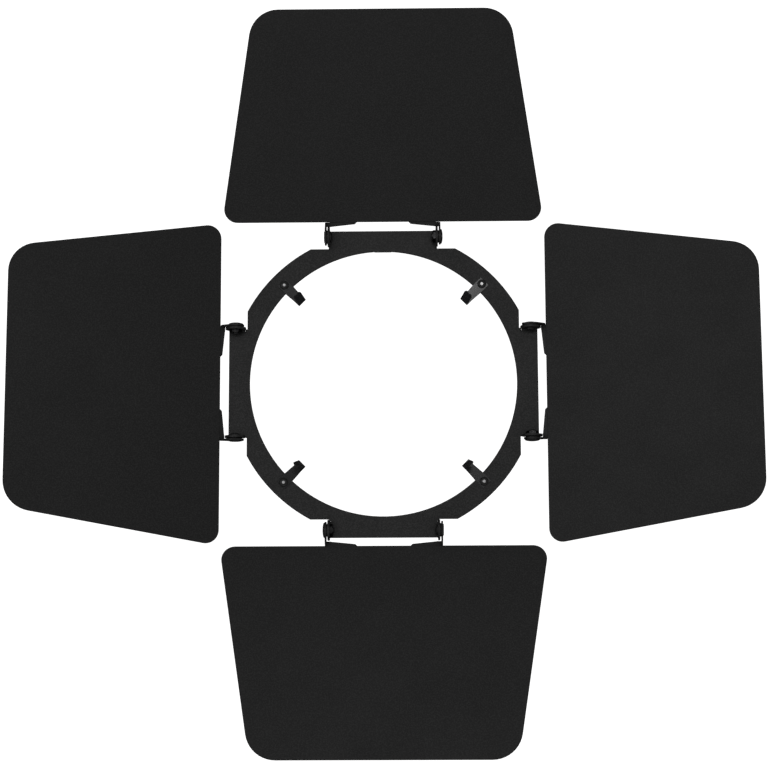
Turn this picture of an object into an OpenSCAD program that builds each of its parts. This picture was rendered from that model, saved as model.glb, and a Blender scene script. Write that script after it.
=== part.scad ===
// Four-leaf barn door attachment for a round stage lamp.
// A ring plate lies in the XY plane with its back face at z = 0 and the light aperture on the Z axis.
// Four equal leaves hang on hinge brackets at the +Y, +X, -Y and -X sides and swing towards +Z.
// Everything is drawn once for the +Y side and turned round the Z axis.

/* [Ring plate] */
// Diameter of the light aperture
aperture_d = 190; // [184:1:192]
// Diameter of the outer rim at the four diagonals
rim_d = 220; // [216:1:222]
// Distance from the centre to the flat beside each hinge tab
flat_y = 97; // [96.5:0.1:97.5]
// Distance from the centre to the outer edge of each hinge tab
tab_y = 110; // [109.5:0.1:110.2]
// Distance between the outer faces of the two ears on a tab
tab_w = 78.8; // [76:0.1:79]
// Thickness of the plate
plate_t = 1.5; // [1.2:0.1:1.6]
// Width of the small flat nib at the top of the aperture
nib_w = 12; // [6:1:16]
// How far the middle of the nib stands into the aperture
nib_depth = 0.45; // [0.3:0.05:0.45]

/* [Hinges] */
// Distance from the centre to the pivot axis
pivot_y = 104.8; // [104.6:0.1:105]
// Height of the pivot axis over the back face
pivot_z = 6; // [6:0.1:6.4]
// Diameter of the pivot screw and of the pivot rivet
pivot_d = 5; // [4:0.1:5]
// Radial clearance of each pivot in its holes
pivot_gap = 0.06; // [0.03:0.01:0.09]
// Distance between the inner faces of the two bracket ears
bracket_w = 80.4; // [80.3:0.1:80.8]
// Thickness of the bracket
bracket_t = 1.2; // [1:0.1:1.2]

/* [Leaves] */
// Length of the edge beside the hinge
near_w = 230.8; // [220:0.1:231]
// Length of the free edge
far_w = 179.2; // [160:0.1:190]
// Distance from the hinge edge to the free edge
leaf_h = 149.5; // [120:0.5:150]
// Distance from the centre to the hinge edge when the leaf lies flat
leaf_y = 114.9; // [114.8:0.1:115.2]
// Thickness of a leaf
leaf_t = 1; // [0.8:0.1:1.2]
// Corner radius at the hinge edge
near_r = 9.5; // [8:0.5:12]
// Corner radius at the free edge
far_r = 21; // [12:0.5:26]
// Angle above flat at which each leaf stands, in the order top, right, bottom, left
rest_tilt = [20, 15, 17, 19.5]; // [0:0.5:40]

/* [Spring clips] */
// Distance from the centre to each clip rivet
clip_rivet_y = 100; // [99:0.5:101]
// Width of a clip's leg
clip_w = 6.6; // [6:0.1:7]
// Width of a clip round its rivet
clip_root_w = 8; // [7:0.1:8.4]
// Thickness of the spring steel
clip_t = 0.6; // [0.5:0.1:0.8]
// Distance from the centre to the back of the clip's bend
clip_bend_y = 81.2; // [80:0.1:84]
// Height of a clip's leg over the plate
clip_leg_h = 19; // [14:0.5:20]
// Outward lean of a clip's leg
clip_lean = 15; // [8:1:18]
// Diameter of a clip rivet's head
rivet_head_d = 6.4; // [6:0.1:6.6]

/* [Hidden] */
$fn = 64;

COAT = [0.13, 0.13, 0.13];
LEAF_COAT = [0.10, 0.10, 0.10];
SPRING_STEEL = [0.22, 0.22, 0.23];
ZINC = [0.28, 0.28, 0.30];
BRIGHT = [0.78, 0.78, 0.80];

cut = 1;                                // how far a cutting body runs past a face
side_gap = 0.05;                        // axial play between stacked hinge pieces
pin_gap = 0.02;                         // radial play of a pin pressed or screwed into its hole
arc_steps = 10;                         // straight steps in a rounded corner

// ring plate and its ears
relief_w = 0.3;                         // slit between an ear and the root of its tab
relief_x = tab_w / 2 - 2.2;             // where that slit starts
ear_lap = 2;                            // how far an ear's bend runs into the tab
root_x = tab_w / 2 - 0.5;               // half width of the root
root_in_y = flat_y - 4;                 // where a tab starts inside the ring
ear_r = 7.3;                            // radius of a ring ear round the pivot
ear_foot_y = pivot_y - 6.1;             // inner edge of the ear's foot
ear_neck_z = 1.6;                       // height at which the ear widens past the tab's edge
ear_in_x = tab_w / 2 - plate_t;
ear_bend_in = 0.6;                      // inside radius of the ear's bend
pivot_hole_r = pivot_d / 2 + pivot_gap;

// bracket
bracket_z = -0.1;                       // underside of the bracket's base when the leaf lies flat
leaf_z = bracket_z + bracket_t;         // underside of the leaf when it lies flat
bracket_bend_in = 0.5;                  // inside radius of the bracket's bends
bracket_out_x = bracket_w / 2 + bracket_t;
bracket_ear_r = 5.9;                    // radius of the round ear about the pivot
bracket_ear_lap = 3;                    // how far a bracket ear's bend runs into the base
bracket_bend_z = 0.4;                   // height of that bend's upper end over its inner radius
bracket_ear_y = leaf_y - 0.3;           // outer edge of a bracket ear
bracket_ear_z = 4;                      // height at which that edge leans back
square_top_z = 11;                      // top of the squarer ear
square_foot_z = 1;                      // its lower corner
square_foot_y = pivot_y + 3;            // end of its lower edge
square_top_y = pivot_y + 4.6;           // outer end of its top edge
square_r = [2, 2.4, 3.4];               // its corner radii: foot, outer top, inner top
base_half_x = bracket_w / 2 - 2;        // half width of the base
recess_x = 17;                          // half width of the middle recess
recess_slope = 3;                       // how far along the edge the recess takes to end
ear_foot_z = bracket_z + bracket_t + bracket_bend_in - 0.2;   // where an ear's flat part starts
base_front_y = leaf_y - 3.5;            // edge of the base beside its ears
base_step_y = leaf_y - 1.6;             // edge of the base where the middle recess starts
base_mid_y = leaf_y + 1.6;              // edge of the base in the middle recess
base_side_y = leaf_y + 4;               // where the base starts to narrow
base_narrow = 4;                        // how much narrower each side is at its back edge
base_back_y = leaf_y + 13;              // edge of the base under the leaf
base_r = [0.8, 0.8, 0, 1, 3];           // corner radii of the base, from its middle to its back edge
weld_r = 2;                             // dimples left by the spot welds
weld_depth = 0.2;
weld_y = leaf_y + 7.5;
weld_x = [-28, -10, 10, 28];

// hardware
screw_head_r = 5.3;
screw_head_h = 1.5;
screw_rim = 0.4;                        // straight part of the head below its dome
recess_depth = 0.9;                     // the cross recess in the head
recess_l = 4.2;
recess_w = 0.9;
screw_tip = 0.9;                        // screw end that stands out of the nut
screw_chamfer = 0.6;
nut_af = 8;
nut_h = 2.2;
nut_round = 0.7;                        // how far the corners reach past the flats
split_w = 0.7;                          // cut in the spring washer
split_slant = 25;
washer_t = bracket_w / 2 - tab_w / 2 - 2 * side_gap;
spring_washer_r = 4.5;
flat_washer_r = 4.8;
washer_hole_r = pivot_hole_r + 0.04;    // hole of either washer
rivet_cap_r = 4.2;
rivet_cap_h = 0.5;
rivet_cap_edge = 0.3;                   // chamfer round the cap
rivet_tail_r = 3.7;
rivet_tail_h = 2;
rivet_tail_rim = 0.4;                   // straight part of the tail

// clips
clip_bend_r = 1.4;                      // inside radius of the clip's bend
clip_end_y = clip_rivet_y + 3;
clip_taper_y = [86, 96];                // where the clip widens from its leg to its root
clip_tip_h = 3;                         // length of the slanted corners at the leg's end
clip_tip_r = 1.2;
rivet_shank_r = 1.6;
rivet_head_h = 1.2;
rivet_bulb_r = 2.4;
rivet_bulb_h = 1.8;
rivet_bulb_edge = 0.7;                  // chamfer round the bulb
mandrel_r = 1.1;
mandrel_base_z = 0.8 - rivet_bulb_h;    // floor of the rivet's bore
mandrel_sink = 0.15;                    // how far the broken pin lies below the crown

// Points of an arc round [cx, cy]
function arc(cx, cy, r, a0, a1, n = arc_steps) =
    [for (i = [0:n]) [cx + r * cos(a0 + (a1 - a0) * i / n), cy + r * sin(a0 + (a1 - a0) * i / n)]];

// Turn from angle a to angle b, taken the short way round
function short_turn(a, b) = let (d = b - a) d > 180 ? d - 360 : d < -180 ? d + 360 : d;

// Rounded corner at p between the points before and after it
function corner(before, p, after, r) =
    let (
        u = (before - p) / norm(before - p),
        v = (after - p) / norm(after - p),
        half = acos(u * v) / 2,
        c = p + (u + v) / norm(u + v) * r / sin(half),
        s = p + u * r / tan(half) - c,
        e = p + v * r / tan(half) - c,
        a0 = atan2(s[1], s[0])
    )
    arc(c[0], c[1], r, a0, a0 + short_turn(a0, atan2(e[1], e[0])));

// Outline through the points with a radius at each; a radius of 0 keeps the corner sharp
function rounded(pts, radii) =
    let (n = len(pts))
    [for (i = [0:n - 1])
        each (radii[i] > 0
            ? corner(pts[(i + n - 1) % n], pts[i], pts[(i + 1) % n], radii[i])
            : [pts[i]])];

// Mirror an outline about its second axis and keep its sense
function mirrored(pts) = [for (i = [len(pts) - 1:-1:0]) [-pts[i][0], pts[i][1]]];

// Turn children from the +Y side to side i, going clockwise seen from +Z
module on_side(i) {
    rotate([0, 0, -90 * i]) children();
}

// Turn children from the +Y direction to corner i, going clockwise seen from +Z
module on_corner(i) {
    rotate([0, 0, -45 - 90 * i]) children();
}

// Swing children about the pivot axis to the angle at which leaf i stands
module swung(i) {
    on_side(i)
        translate([0, pivot_y, pivot_z])
            rotate([rest_tilt[i], 0, 0])
                translate([0, -pivot_y, -pivot_z])
                    children();
}

// Put children on the pivot axis with their +Z along +X (dir = 1) or -X (dir = -1)
module on_pivot(dir = 1) {
    translate([0, pivot_y, pivot_z]) rotate([0, 90 * dir, 0]) children();
}

// Extrude an outline given as [y, z] along X from x0 to x1
module along_x(x0, x1, pts) {
    translate([x0, 0, 0]) rotate([90, 0, 90]) linear_extrude(x1 - x0) polygon(pts);
}

// Extrude an outline given as [x, z] along Y from y0 to y1
module along_y(y0, y1, pts) {
    translate([0, y1, 0]) rotate([90, 0, 0]) linear_extrude(y1 - y0) polygon(pts);
}

// Section of a sheet that bends up at its +X end
function bent_up(x0, x1, z0, z1, t, r_in) =
    rounded(
        [[x0, z0], [x1, z0], [x1, z1], [x1 - t, z1], [x1 - t, z0 + t], [x0, z0 + t]],
        [0, r_in + t, 0, 0, r_in, 0]);

module ring_ear() {
    start_x = relief_x - ear_lap;
    difference() {
        intersection() {
            along_y(pivot_y - ear_r - cut, pivot_y + ear_r + cut,
                bent_up(start_x, tab_w / 2, 0, pivot_z + ear_r + cut, plate_t, ear_bend_in));
            along_x(start_x - cut, tab_w / 2 + cut,
                concat([[ear_foot_y, -cut], [tab_y, -cut], [tab_y, ear_neck_z]],
                    arc(pivot_y, pivot_z, ear_r, -30, 210, 30)));
        }
        on_pivot() translate([0, 0, start_x]) cylinder(r = pivot_hole_r, h = tab_w / 2);
    }
}

module ring_tab() {
    translate([-relief_x, root_in_y, 0]) cube([2 * relief_x, tab_y - root_in_y, plate_t]);
    translate([-root_x, root_in_y, 0])
        cube([2 * root_x, ear_foot_y - relief_w - root_in_y, plate_t]);
    ring_ear();
    mirror([1, 0, 0]) ring_ear();
}

module aperture() {
    difference() {
        translate([0, 0, -cut]) cylinder(d = aperture_d, h = plate_t + 2 * cut, $fn = 180);
        translate([-nib_w / 2, aperture_d / 2 - nib_depth, -2 * cut])
            cube([nib_w, 2 * nib_depth, plate_t + 4 * cut]);
    }
}

module ring_plate() {
    color(COAT)
    difference() {
        union() {
            intersection() {
                cylinder(d = rim_d, h = plate_t, $fn = 180);
                translate([-flat_y, -flat_y, 0]) cube([2 * flat_y, 2 * flat_y, plate_t]);
            }
            for (i = [0:3]) on_side(i) ring_tab();
        }
        aperture();
        for (i = [0:3])
            on_corner(i)
                translate([0, clip_rivet_y, -cut])
                    cylinder(r = rivet_shank_r + pivot_gap, h = plate_t + 2 * cut);
    }
}

// Trapezoid sheet with rounded corners that narrows from the hinge edge to the free edge
module leaf(i) {
    far_y = leaf_y + leaf_h;
    color(LEAF_COAT)
    swung(i)
        translate([0, 0, leaf_z])
            linear_extrude(leaf_t)
                polygon(rounded(
                    [[-near_w / 2, leaf_y], [near_w / 2, leaf_y], [far_w / 2, far_y], [-far_w / 2, far_y]],
                    [near_r, near_r, far_r, far_r]));
}

// Ear at the screw end: round about the pivot, with an arm down to the bend
module round_ear() {
    along_x(bracket_w / 2, bracket_out_x,
        concat(arc(pivot_y, pivot_z, bracket_ear_r, 48, 290, 24),
            [[base_front_y, ear_foot_z], [bracket_ear_y, ear_foot_z], [bracket_ear_y, bracket_ear_z]]));
}

// Ear at the rivet end: squarer, with clipped corners
module square_ear() {
    along_x(bracket_w / 2, bracket_out_x,
        rounded(
            [[pivot_y - bracket_ear_r, square_foot_z], [square_foot_y, square_foot_z - 0.2],
             [base_front_y, ear_foot_z], [bracket_ear_y, ear_foot_z], [bracket_ear_y, bracket_ear_z],
             [square_top_y, square_top_z], [pivot_y - bracket_ear_r, square_top_z]],
            [square_r[0], 0, 0, 0, 0, square_r[1], square_r[2]]));
}

// The stretch of bend that joins an ear to the base
module ear_bend() {
    along_y(base_front_y, bracket_ear_y,
        bent_up(bracket_w / 2 - bracket_ear_lap, bracket_out_x, bracket_z,
            ear_foot_z + 0.2 + bracket_bend_z, bracket_t, bracket_bend_in));
}

module bracket_base() {
    half = [[recess_x, base_mid_y], [recess_x + recess_slope, base_step_y],
        [base_half_x, base_front_y], [base_half_x, base_side_y], [base_half_x - base_narrow, base_back_y]];
    radii = concat(base_r, [for (i = [len(base_r) - 1:-1:0]) base_r[i]]);
    translate([0, 0, bracket_z])
        linear_extrude(bracket_t)
            polygon(rounded(concat(half, mirrored(half)), radii));
}

module hinge_bracket(i) {
    color(COAT)
    swung(i)
        difference() {
            union() {
                bracket_base();
                ear_bend();
                mirror([1, 0, 0]) ear_bend();
                round_ear();
                mirror([1, 0, 0]) square_ear();
            }
            on_pivot() translate([0, 0, -bracket_w]) cylinder(r = pivot_hole_r, h = 2 * bracket_w);
            for (x = weld_x)
                translate([x, weld_y, bracket_z - cut])
                    cylinder(r = weld_r, h = cut + weld_depth);
        }
}

// Domed head with a cross recess, plain shank and chamfered tip
module friction_screw(i) {
    head_z = bracket_out_x + side_gap;
    tip_z = ear_in_x - side_gap - nut_h - screw_tip;
    shank_r = pivot_d / 2;
    color(SPRING_STEEL)
    on_side(i) on_pivot()
        difference() {
            rotate_extrude()
                polygon(concat(
                    [[0, tip_z], [shank_r - screw_chamfer, tip_z], [shank_r, tip_z + screw_chamfer],
                     [shank_r, head_z], [screw_head_r, head_z], [screw_head_r, head_z + screw_rim]],
                    [for (a = [15:15:90])
                        [screw_head_r * cos(a),
                         head_z + screw_rim + (screw_head_h - screw_rim) * sin(a)]]));
            for (a = [0, 90])
                rotate([0, 0, a])
                    translate([-recess_l / 2, -recess_w / 2, head_z + screw_head_h - recess_depth])
                        cube([recess_l, recess_w, 2 * recess_depth]);
        }
}

module lock_nut(i) {
    color(ZINC)
    on_side(i) on_pivot()
        translate([0, 0, ear_in_x - side_gap - nut_h])
            difference() {
                intersection() {
                    rotate([0, 0, 30]) cylinder(d = nut_af / cos(30), h = nut_h, $fn = 6);
                    rotate_extrude()
                        polygon([[0, 0], [nut_af / 2, 0], [nut_af / 2 + nut_round, nut_round],
                            [nut_af / 2 + nut_round, nut_h], [0, nut_h]]);
                }
                translate([0, 0, -cut]) cylinder(r = pivot_d / 2 + pin_gap, h = nut_h + 2 * cut);
            }
}

// Split ring, cut on a slant
module spring_washer(i) {
    color(SPRING_STEEL)
    on_side(i) on_pivot()
        translate([0, 0, tab_w / 2 + side_gap])
            difference() {
                cylinder(r = spring_washer_r, h = washer_t);
                translate([0, 0, -cut]) cylinder(r = washer_hole_r, h = washer_t + 2 * cut);
                translate([0, spring_washer_r, washer_t / 2])
                    rotate([0, split_slant, 0])
                        cube([split_w, 2 * spring_washer_r, 4 * washer_t], center = true);
            }
}

// Flat cap outside the bracket, shank, and tail formed inside the ring ear
module pivot_rivet(i) {
    cap_z = bracket_out_x + side_gap;
    tail_z = ear_in_x - side_gap;
    rim_z = tail_z - rivet_tail_rim;
    shank_r = pivot_d / 2;
    color(SPRING_STEEL)
    on_side(i) on_pivot(-1)
        rotate_extrude()
            polygon(concat(
                [for (a = [0:15:75])
                    [rivet_tail_r * sin(a), rim_z - (rivet_tail_h - rivet_tail_rim) * cos(a)]],
                [[rivet_tail_r, rim_z], [rivet_tail_r, tail_z], [shank_r, tail_z],
                 [shank_r, cap_z], [rivet_cap_r, cap_z],
                 [rivet_cap_r, cap_z + rivet_cap_h - rivet_cap_edge],
                 [rivet_cap_r - rivet_cap_edge, cap_z + rivet_cap_h], [0, cap_z + rivet_cap_h]]));
}

module flat_washer(i) {
    color(ZINC)
    on_side(i) on_pivot(-1)
        translate([0, 0, tab_w / 2 + side_gap])
            difference() {
                cylinder(r = flat_washer_r, h = washer_t);
                translate([0, 0, -cut]) cylinder(r = washer_hole_r, h = washer_t + 2 * cut);
            }
}

// Centre line of the clip as [y, z, direction]: flat on the plate, round the bend, up the leg
function clip_line() =
    let (
        z = plate_t + clip_t / 2,
        r = clip_bend_r + clip_t / 2,
        y = clip_bend_y + r + clip_t / 2,
        turn = 90 + clip_lean,
        leg = (clip_leg_h - clip_t - r) / cos(clip_lean),
        b = [y - r * sin(turn), z + r * (1 - cos(turn))]
    )
    concat(
        [[clip_end_y, z, 180]],
        [for (k = [0:arc_steps])
            let (a = turn * k / arc_steps) [y - r * sin(a), z + r * (1 - cos(a)), 180 - a]],
        [[b[0] + leg * sin(clip_lean), b[1] + leg * cos(clip_lean), 180 - turn]]);

// Outline of a sheet of thickness t along a centre line
function ribbon(line, t) =
    let (
        left = [for (p = line) [p[0] - t / 2 * sin(p[2]), p[1] + t / 2 * cos(p[2])]],
        right = [for (p = line) [p[0] + t / 2 * sin(p[2]), p[1] - t / 2 * cos(p[2])]]
    )
    concat(left, [for (i = [len(right) - 1:-1:0]) right[i]]);

module spring_clip(i) {
    top_z = plate_t + clip_leg_h;
    tip_z = top_z - clip_tip_h;
    half = [[clip_w / 2, 0], [clip_w / 2, clip_taper_y[0]], [clip_root_w / 2, clip_taper_y[1]],
        [clip_root_w / 2, clip_end_y + cut]];
    color(SPRING_STEEL)
    on_corner(i)
        difference() {
            intersection() {
                along_x(-clip_root_w, clip_root_w, ribbon(clip_line(), clip_t));
                along_y(clip_bend_y - cut, clip_end_y + cut,
                    rounded(
                        [[-clip_root_w, 0], [clip_root_w, 0], [clip_root_w, tip_z],
                         [clip_w / 2, tip_z], [clip_w / 2 - clip_tip_r, top_z],
                         [clip_tip_r - clip_w / 2, top_z], [-clip_w / 2, tip_z],
                         [-clip_root_w, tip_z]],
                        [0, 0, 0, 0, clip_tip_r, clip_tip_r, 0, 0]));
                union() {
                    linear_extrude(plate_t + 2 * clip_t)
                        polygon(concat(half, mirrored(half)));
                    translate([-clip_w / 2, 0, 0]) cube([clip_w, clip_rivet_y, top_z + cut]);
                }
            }
            translate([0, clip_rivet_y, 0]) cylinder(r = rivet_shank_r + pivot_gap, h = 2 * plate_t + cut);
        }
}

// Domed head over the clip, shank through clip and plate, bulb behind the plate, bore for the mandrel
module clip_rivet(i) {
    seat_z = plate_t + clip_t;
    color(COAT)
    on_corner(i)
        translate([0, clip_rivet_y, 0])
            difference() {
                rotate_extrude()
                    polygon(concat(
                        [[0, -rivet_bulb_h], [rivet_bulb_r - rivet_bulb_edge, -rivet_bulb_h],
                         [rivet_bulb_r, rivet_bulb_edge - rivet_bulb_h], [rivet_bulb_r, 0],
                         [rivet_shank_r, 0],
                         [rivet_shank_r, seat_z], [rivet_head_d / 2, seat_z]],
                        [for (a = [15:15:90])
                            [rivet_head_d / 2 * cos(a), seat_z + rivet_head_h * sin(a)]]));
                translate([0, 0, mandrel_base_z]) cylinder(r = mandrel_r, h = seat_z + rivet_head_d);
            }
}

// Broken end of the pulling pin, just below the crown of the rivet head
module rivet_mandrel(i) {
    base_z = mandrel_base_z + side_gap;
    top_z = plate_t + clip_t + rivet_head_h - mandrel_sink;
    color(BRIGHT)
    on_corner(i)
        translate([0, clip_rivet_y, base_z])
            cylinder(r = mandrel_r - pin_gap, h = top_z - base_z);
}

ring_plate();
leaf(0);  // leaf_top
leaf(1);  // leaf_right
leaf(2);  // leaf_bottom
leaf(3);  // leaf_left
hinge_bracket(0);  // hinge_bracket_top
hinge_bracket(1);  // hinge_bracket_right
hinge_bracket(2);  // hinge_bracket_bottom
hinge_bracket(3);  // hinge_bracket_left
friction_screw(0);  // friction_screw_top
friction_screw(1);  // friction_screw_right
friction_screw(2);  // friction_screw_bottom
friction_screw(3);  // friction_screw_left
lock_nut(0);  // lock_nut_top
lock_nut(1);  // lock_nut_right
lock_nut(2);  // lock_nut_bottom
lock_nut(3);  // lock_nut_left
spring_washer(0);  // spring_washer_top
spring_washer(1);  // spring_washer_right
spring_washer(2);  // spring_washer_bottom
spring_washer(3);  // spring_washer_left
pivot_rivet(0);  // pivot_rivet_top
pivot_rivet(1);  // pivot_rivet_right
pivot_rivet(2);  // pivot_rivet_bottom
pivot_rivet(3);  // pivot_rivet_left
flat_washer(0);  // flat_washer_top
flat_washer(1);  // flat_washer_right
flat_washer(2);  // flat_washer_bottom
flat_washer(3);  // flat_washer_left
spring_clip(0);  // spring_clip_top_right
spring_clip(1);  // spring_clip_bottom_right
spring_clip(2);  // spring_clip_bottom_left
spring_clip(3);  // spring_clip_top_left
clip_rivet(0);  // clip_rivet_top_right
clip_rivet(1);  // clip_rivet_bottom_right
clip_rivet(2);  // clip_rivet_bottom_left
clip_rivet(3);  // clip_rivet_top_left
rivet_mandrel(0);  // rivet_mandrel_top_right
rivet_mandrel(1);  // rivet_mandrel_bottom_right
rivet_mandrel(2);  // rivet_mandrel_bottom_left
rivet_mandrel(3);  // rivet_mandrel_top_left
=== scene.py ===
"""Looks of the four-leaf barn door attachment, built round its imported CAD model.

All lengths are metres in the CAD's frame: the ring plate's back face is z = 0, the beam axis is +Z,
+Y points to the top leaf and +X to the right leaf.
"""
import math

import bpy
from mathutils import Matrix, Vector


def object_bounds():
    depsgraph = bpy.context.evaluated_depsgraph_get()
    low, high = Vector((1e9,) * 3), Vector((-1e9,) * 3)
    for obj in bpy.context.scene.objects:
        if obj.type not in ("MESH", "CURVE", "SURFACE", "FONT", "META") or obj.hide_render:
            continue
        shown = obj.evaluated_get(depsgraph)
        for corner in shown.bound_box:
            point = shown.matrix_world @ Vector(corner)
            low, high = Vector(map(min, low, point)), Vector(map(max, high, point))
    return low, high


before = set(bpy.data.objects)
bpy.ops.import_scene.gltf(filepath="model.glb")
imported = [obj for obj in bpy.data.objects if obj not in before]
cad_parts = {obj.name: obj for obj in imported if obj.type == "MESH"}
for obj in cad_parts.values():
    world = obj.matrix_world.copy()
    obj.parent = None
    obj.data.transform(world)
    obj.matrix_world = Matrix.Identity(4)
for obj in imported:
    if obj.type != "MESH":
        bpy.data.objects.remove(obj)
CAD_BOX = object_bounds()

MM = 0.001

# Camera: its distance from the ring, its lens, and how far it leans from the beam axis
CAMERA_DISTANCE = 1.1813
CAMERA_LENS = 77.8
CAMERA_PITCH = math.radians(-7.75)
CAMERA_YAW = math.radians(-0.84)
CAMERA_ROLL = math.radians(0.23)
CAMERA_OFFSET = Vector((-0.00043, 0.00086, 0.0))
SENSOR_WIDTH = 36
CLIP_END = 50

# Powder coat: noise scales in cycles per metre, height of its bumps, and how much the sheen varies
GRAIN_SCALE = 1100
PEEL_SCALE = 300
CLOUD_SCALE = 26
BUMP_HEIGHT = 0.12 * MM
PEEL_SHARE = 0.6
CLOUDINESS = 0.03

# Metal: noise scales of its film and scratches, and the height of the scratches
FILM_SCALE = 420
SCRATCH_SCALE = 900
SCRATCH_STRETCH = (1.0, 0.12, 1.0)
SCRATCH_HEIGHT = 0.02 * MM
SCRATCH_STRENGTH = 0.15

# Width of the rounded edges in mm, by the start of the node's name
EDGE_WIDTH = {"leaf": 0.3, "ring": 0.35, "hinge": 0.3, "spring_clip": 0.14, "lock": 0.2, "friction": 0.1}
SMALL_EDGE = 0.12
SHARP_ANGLE = math.radians(32)
FLAT_ANGLE = math.radians(0.6)
SAME_POINT = 0.001 * MM

# Studio: how far the floor lies below the ring, its size, and how bright it and the world are
LEAF_DROP = 0.17
FLOOR_RADIUS = 6.0
FLOOR_STEPS = 96
WALL_HEIGHT = 8.0
FLOOR_GLOW = 0.98
WORLD_HEIGHTS = (-0.15, 0.35)
WORLD_LIGHT = 0.25
WORLD_LOW = 0.02


def make_camera():
    """A camera above the ring, leaning towards the bottom leaf."""
    turn = (
        Matrix.Rotation(CAMERA_PITCH, 3, "X")
        @ Matrix.Rotation(CAMERA_YAW, 3, "Y")
        @ Matrix.Rotation(CAMERA_ROLL, 3, "Z")
    )
    back = turn.transposed()
    place = back @ (Vector((0, 0, CAMERA_DISTANCE)) - CAMERA_OFFSET)
    data = bpy.data.cameras.new("camera")
    data.lens = CAMERA_LENS
    data.sensor_width = SENSOR_WIDTH
    data.clip_end = CLIP_END
    camera = bpy.data.objects.new("camera", data)
    camera.matrix_world = Matrix.Translation(place) @ back.to_4x4()
    bpy.context.scene.collection.objects.link(camera)
    bpy.context.scene.camera = camera


class Nodes:
    """A material with its shader, and short calls that add procedural nodes in front of it."""

    def __init__(self, name):
        self.material = bpy.data.materials.new(name)
        self.material.use_nodes = True
        self.tree = self.material.node_tree
        self.shader = self.tree.nodes["Principled BSDF"]
        self.place = self.tree.nodes.new("ShaderNodeTexCoord").outputs["Object"]

    def plain(self, **values):
        for name, value in values.items():
            self.shader.inputs[name.replace("_", " ")].default_value = value

    def add(self, kind, **values):
        node = self.tree.nodes.new(kind)
        for name, value in values.items():
            setattr(node, name, value)
        return node

    def join(self, source, target):
        self.tree.links.new(source, target)

    def noise(self, scale, detail=2.0, roughness=0.5, stretch=None):
        node = self.add("ShaderNodeTexNoise")
        node.inputs["Scale"].default_value = scale
        node.inputs["Detail"].default_value = detail
        node.inputs["Roughness"].default_value = roughness
        place = self.place
        if stretch:
            mapping = self.add("ShaderNodeMapping")
            mapping.inputs["Scale"].default_value = stretch
            self.join(place, mapping.inputs["Vector"])
            place = mapping.outputs["Vector"]
        self.join(place, node.inputs["Vector"])
        return node.outputs["Fac"]

    def ramp(self, source, low, high, value_low, value_high):
        """Spread source from low..high over value_low..value_high."""
        node = self.add("ShaderNodeMapRange", interpolation_type="SMOOTHSTEP")
        node.inputs["From Min"].default_value = low
        node.inputs["From Max"].default_value = high
        node.inputs["To Min"].default_value = value_low
        node.inputs["To Max"].default_value = value_high
        self.join(source, node.inputs["Value"])
        return node.outputs["Result"]

    def mix(self, factor, first, second):
        """Colour between two plain colours."""
        node = self.add("ShaderNodeMix", data_type="RGBA")
        node.inputs["A"].default_value = (*first, 1)
        node.inputs["B"].default_value = (*second, 1)
        self.join(factor, node.inputs["Factor"])
        return node.outputs["Result"]

    def bump(self, layers):
        """Chain bumps; each layer is (height source, strength, distance)."""
        normal = None
        for source, strength, distance in layers:
            node = self.add("ShaderNodeBump")
            node.inputs["Strength"].default_value = strength
            node.inputs["Distance"].default_value = distance
            self.join(source, node.inputs["Height"])
            if normal:
                self.join(normal, node.inputs["Normal"])
            normal = node.outputs["Normal"]
        self.join(normal, self.shader.inputs["Normal"])


def powder_coat(name, dark, pale, rough, grain_strength):
    """Black powder coat: orange peel, fine pale grain and a cloudy sheen."""
    n = Nodes(name)
    grain = n.noise(GRAIN_SCALE, 3.0, 0.6)
    peel = n.noise(PEEL_SCALE, 2.0)
    cloud = n.noise(CLOUD_SCALE, 4.0, 0.6)
    n.join(n.mix(n.ramp(grain, 0.4, 0.66, 0, 1), dark, pale), n.shader.inputs["Base Color"])
    n.join(n.ramp(cloud, 0.3, 0.7, rough - CLOUDINESS, rough + CLOUDINESS), n.shader.inputs["Roughness"])
    n.bump([(peel, PEEL_SHARE * grain_strength, BUMP_HEIGHT), (grain, grain_strength, BUMP_HEIGHT)])
    n.plain(Specular_IOR_Level=0.5)
    return n.material


def metal(name, dark, pale, rough):
    """Metal with a cloudy surface film and faint short scratches."""
    n = Nodes(name)
    cloud = n.noise(FILM_SCALE, 3.0, 0.6)
    streak = n.noise(SCRATCH_SCALE, 2.0, 0.5, SCRATCH_STRETCH)
    n.join(n.mix(n.ramp(cloud, 0.35, 0.65, 0, 1), dark, pale), n.shader.inputs["Base Color"])
    n.join(n.ramp(streak, 0.35, 0.65, rough - 0.05, rough + 0.07), n.shader.inputs["Roughness"])
    n.bump([(streak, SCRATCH_STRENGTH, SCRATCH_HEIGHT)])
    n.plain(Metallic=1.0)
    return n.material


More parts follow.
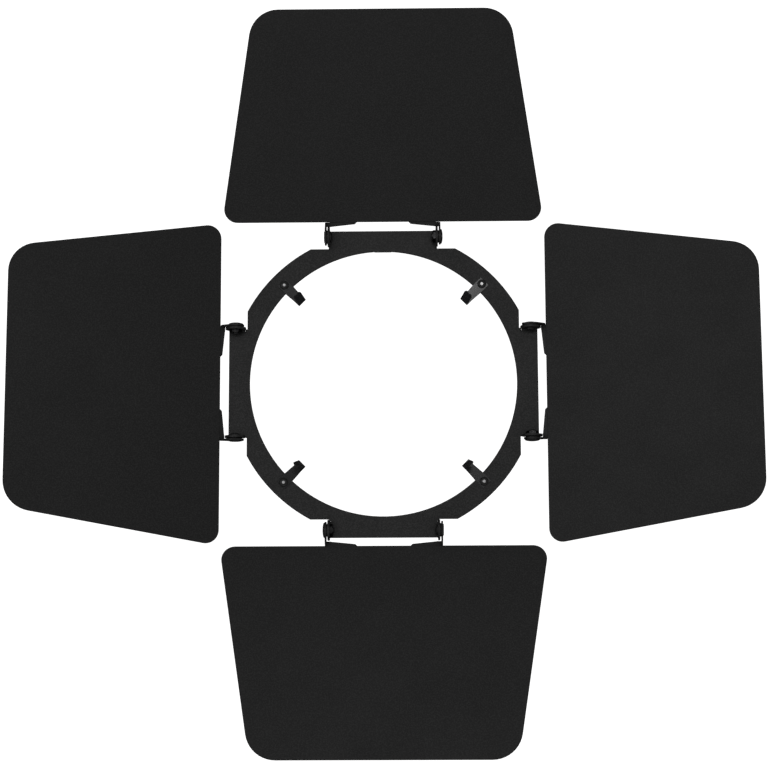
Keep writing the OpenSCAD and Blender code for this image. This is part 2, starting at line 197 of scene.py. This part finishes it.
def dress_cad():
    """Give each CAD node its finish and soften its edges."""
    finishes = {
        "ring_plate": powder_coat("ring_coat", (0.003, 0.003, 0.0032), (0.03, 0.03, 0.03), 0.5, 0.8),
        "leaf": powder_coat("leaf_coat", (0.0012, 0.0012, 0.0014), (0.017, 0.017, 0.017), 0.52, 0.65),
        "hinge_bracket": powder_coat("bracket_coat", (0.005, 0.005, 0.005), (0.014, 0.014, 0.014), 0.46, 0.5),
        "clip_rivet": powder_coat("rivet_coat", (0.006, 0.006, 0.006), (0.02, 0.02, 0.02), 0.35, 0.3),
        "friction_screw": powder_coat("dark_steel", (0.006, 0.006, 0.0065), (0.02, 0.02, 0.02), 0.3, 0.15),
        "spring_clip": powder_coat("spring_steel", (0.006, 0.006, 0.007), (0.02, 0.02, 0.021), 0.24, 0.12),
        "lock_nut": metal("black_zinc", (0.025, 0.025, 0.026), (0.045, 0.045, 0.045), 0.28),
        "rivet_mandrel": metal("bright_steel", (0.55, 0.55, 0.56), (0.7, 0.7, 0.7), 0.4),
    }
    finishes["spring_washer"] = finishes["pivot_rivet"] = finishes["friction_screw"]
    finishes["flat_washer"] = finishes["lock_nut"]
    for name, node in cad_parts.items():
        kind = max((k for k in finishes if name.startswith(k)), key=len)
        node.data.materials.clear()
        node.data.materials.append(finishes[kind])
        width = next((w for k, w in EDGE_WIDTH.items() if name.startswith(k)), SMALL_EDGE)
        soften(node, width * MM)


def soften(node, width):
    """Rounded edges and even shading by modifiers; the CAD mesh below them stays as it is."""
    weld = node.modifiers.new("weld", "WELD")
    weld.merge_threshold = SAME_POINT
    flat = node.modifiers.new("flat", "DECIMATE")
    flat.decimate_type = "DISSOLVE"
    flat.angle_limit = FLAT_ANGLE
    bevel = node.modifiers.new("edges", "BEVEL")
    bevel.width = width
    bevel.segments = 2
    bevel.limit_method = "ANGLE"
    bevel.angle_limit = SHARP_ANGLE
    bevel.use_clamp_overlap = True
    shade = node.modifiers.new("shade", "WEIGHTED_NORMAL")
    shade.mode = "FACE_AREA"
    shade.weight = 100
    shade.keep_sharp = True


def make_floor():
    """A round white floor below the lowest a leaf can hang, with a white wall round it."""
    low = CAD_BOX[0][2] - LEAF_DROP
    turns = [2 * math.pi * i / FLOOR_STEPS for i in range(FLOOR_STEPS)]
    rim = [(FLOOR_RADIUS * math.cos(a), FLOOR_RADIUS * math.sin(a), low) for a in turns]
    top = [(x, y, low + WALL_HEIGHT) for x, y, _ in rim]
    sides = [(i, (i + 1) % FLOOR_STEPS, FLOOR_STEPS + (i + 1) % FLOOR_STEPS, FLOOR_STEPS + i)
             for i in range(FLOOR_STEPS)]
    for name, points, faces in (("floor", rim, [tuple(range(FLOOR_STEPS))]), ("wall", rim + top, sides)):
        mesh = bpy.data.meshes.new(name)
        mesh.from_pydata(points, [], faces)
        piece = bpy.data.objects.new(name, mesh)
        bpy.context.scene.collection.objects.link(piece)
        n = Nodes(name + "_white")
        n.plain(Base_Color=(0.9, 0.9, 0.9, 1), Roughness=0.9, Emission_Color=(1, 1, 1, 1),
                Emission_Strength=FLOOR_GLOW, Specular_IOR_Level=0.0)
        mesh.materials.append(n.material)
        piece.visible_glossy = False
        piece.visible_diffuse = name == "floor"
        piece.visible_shadow = name == "floor"


def area(name, place, target, size, radiance):
    """A soft box at place that faces target, as bright as radiance."""
    data = bpy.data.lights.new(name, "AREA")
    data.shape = "RECTANGLE"
    data.size, data.size_y = size
    data.energy = radiance * math.pi * size[0] * size[1]
    light = bpy.data.objects.new(name, data)
    light.location = place
    light.rotation_euler = (Vector(target) - Vector(place)).to_track_quat("-Z", "Y").to_euler()
    bpy.context.scene.collection.objects.link(light)


def make_light():
    """An even upper world that fades below the horizon, and three soft boxes."""
    world = bpy.data.worlds.new("studio")
    world.use_nodes = True
    nodes, links = world.node_tree.nodes, world.node_tree.links
    back = nodes["Background"]
    back.inputs["Color"].default_value = (1, 1, 1, 1)
    height = nodes.new("ShaderNodeSeparateXYZ")
    spread = nodes.new("ShaderNodeMapRange")
    spread.inputs["From Min"].default_value, spread.inputs["From Max"].default_value = WORLD_HEIGHTS
    spread.inputs["To Min"].default_value, spread.inputs["To Max"].default_value = WORLD_LOW, WORLD_LIGHT
    links.new(nodes.new("ShaderNodeTexCoord").outputs["Generated"], height.inputs[0])
    links.new(height.outputs["Z"], spread.inputs["Value"])
    links.new(spread.outputs["Result"], back.inputs["Strength"])
    bpy.context.scene.world = world
    area("key", (0.2, 0.52, 2.4), (0, 0, 0), (0.4, 0.4), 5.6)
    area("left_side", (-1.35, 0.3, 2.2), (0, 0, 0), (0.9, 1.2), 0.95)
    area("front_fill", (0.0, -1.5, 2.2), (0, 0, 0), (1.4, 0.8), 0.5)


make_camera()
make_floor()
make_light()
dress_cad()
bpy.context.scene.view_settings.view_transform = "Standard"
